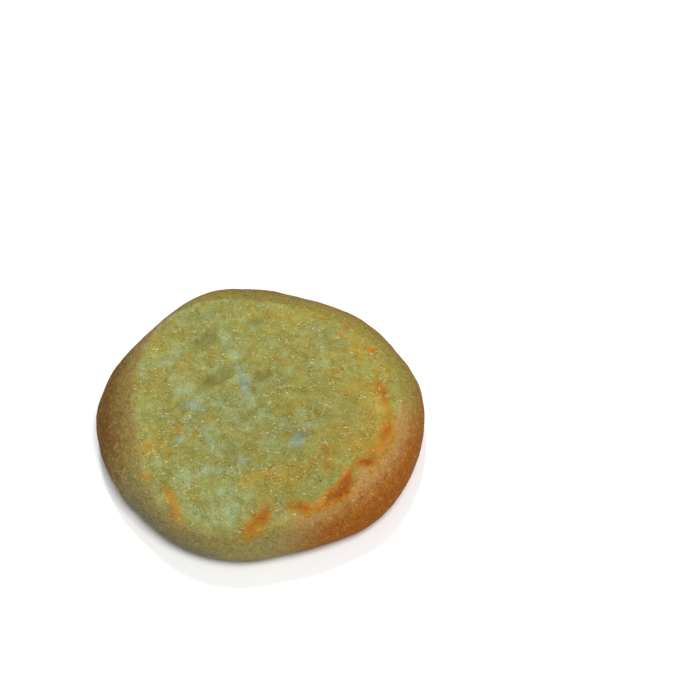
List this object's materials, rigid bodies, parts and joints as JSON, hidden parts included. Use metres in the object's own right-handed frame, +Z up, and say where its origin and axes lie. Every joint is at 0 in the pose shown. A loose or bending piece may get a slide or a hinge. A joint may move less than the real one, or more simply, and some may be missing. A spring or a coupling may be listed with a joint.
{
  "type": "cheese manakish",
  "caption": "Small thick round flatbread with a soft rolled rim, baked under an uneven layer of melted cheese, resting on its flat base.",
  "frame": {"origin": "middle of the footprint's box, on the flat base", "axes": "+Z up through the cheese, -Y towards the front, +X to the right seen from the front"},
  "size_m": [0.119, 0.1138, 0.0219],
  "materials": {
    "baked_dough": "matte baked crust, golden with browned patches",
    "melted_cheese": "satin melted cheese with wet glints and toasted blisters"
  },
  "bodies": {
    "root": {"dough": "baked_dough", "cheese": "melted_cheese"}
  },
  "joints": []
}
